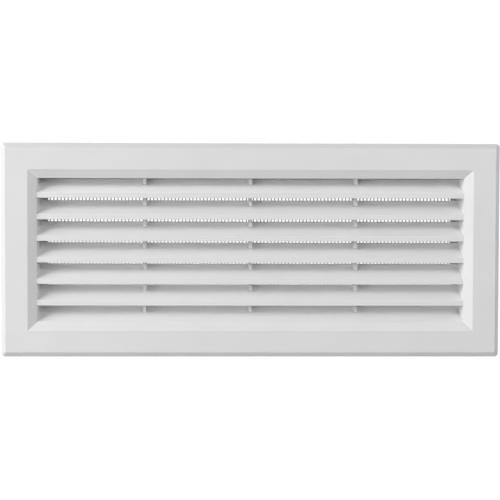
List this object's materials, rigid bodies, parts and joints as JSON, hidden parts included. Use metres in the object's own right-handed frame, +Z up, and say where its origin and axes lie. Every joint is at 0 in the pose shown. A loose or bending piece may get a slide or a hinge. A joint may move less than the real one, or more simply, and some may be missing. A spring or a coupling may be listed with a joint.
{
  "type": "louvred air grille",
  "caption": "Rectangular white plastic wall grille with fixed sloping louvres, an insect screen behind them and sprung arms that hold it in a wall opening.",
  "frame": {"origin": "middle of the air window, on the wall's surface behind the cover frame", "axes": "+X to the right as seen from the room, +Y into the wall, +Z up"},
  "size_m": [0.28, 0.0454, 0.12],
  "materials": {
    "frame_plastic": "light grey-white moulded ABS, fine satin grain",
    "louvre_plastic": "light grey-white moulded ABS, satin",
    "collar_plastic": "light grey-white moulded ABS, satin",
    "screen_net": "grey moulded net, 2 mm pitch",
    "retainer_plastic": "light grey moulded plastic",
    "spring_steel": "bright drawn spring wire",
    "pin_steel": "zinc-plated steel"
  },
  "bodies": {
    "grille": {"front_frame": "frame_plastic", "louvre_blade_1": "louvre_plastic", "louvre_blade_2": "louvre_plastic", "louvre_blade_3": "louvre_plastic", "louvre_blade_4": "louvre_plastic", "louvre_blade_5": "louvre_plastic", "louvre_blade_6": "louvre_plastic", "sill_blade": "louvre_plastic", "mullion_left": "louvre_plastic", "mullion_centre": "louvre_plastic", "mullion_right": "louvre_plastic", "collar_top": "collar_plastic", "collar_bottom": "collar_plastic", "cheek_left": "collar_plastic", "cheek_right": "collar_plastic", "spring_pin_left": "pin_steel", "spring_pin_right": "pin_steel", "spring_coils_left": "spring_steel", "spring_coils_right": "spring_steel"},
    "screen": {"insect_screen": "screen_net", "screen_retainer": "retainer_plastic"},
    "left_arm": {"spring_arm_left": "spring_steel"},
    "right_arm": {"spring_arm_right": "spring_steel"}
  },
  "joints": [
    {"name": "screen_pull", "type": "slide", "parent": "grille", "child": "screen", "axis": [0, 1, 0], "range_m": [0, 0.018]},
    {"name": "left_arm_fold", "type": "hinge", "parent": "grille", "child": "left_arm", "pos_m": [-0.1252, 0.0075, 0], "axis": [0, 0, 1], "range_deg": [-25, 0], "stiffness_Nm_per_rad": 0.03},
    {"name": "right_arm_fold", "type": "hinge", "parent": "grille", "child": "right_arm", "pos_m": [0.1252, 0.0075, 0], "axis": [0, 0, 1], "range_deg": [0, 25], "stiffness_Nm_per_rad": 0.03}
  ]
}
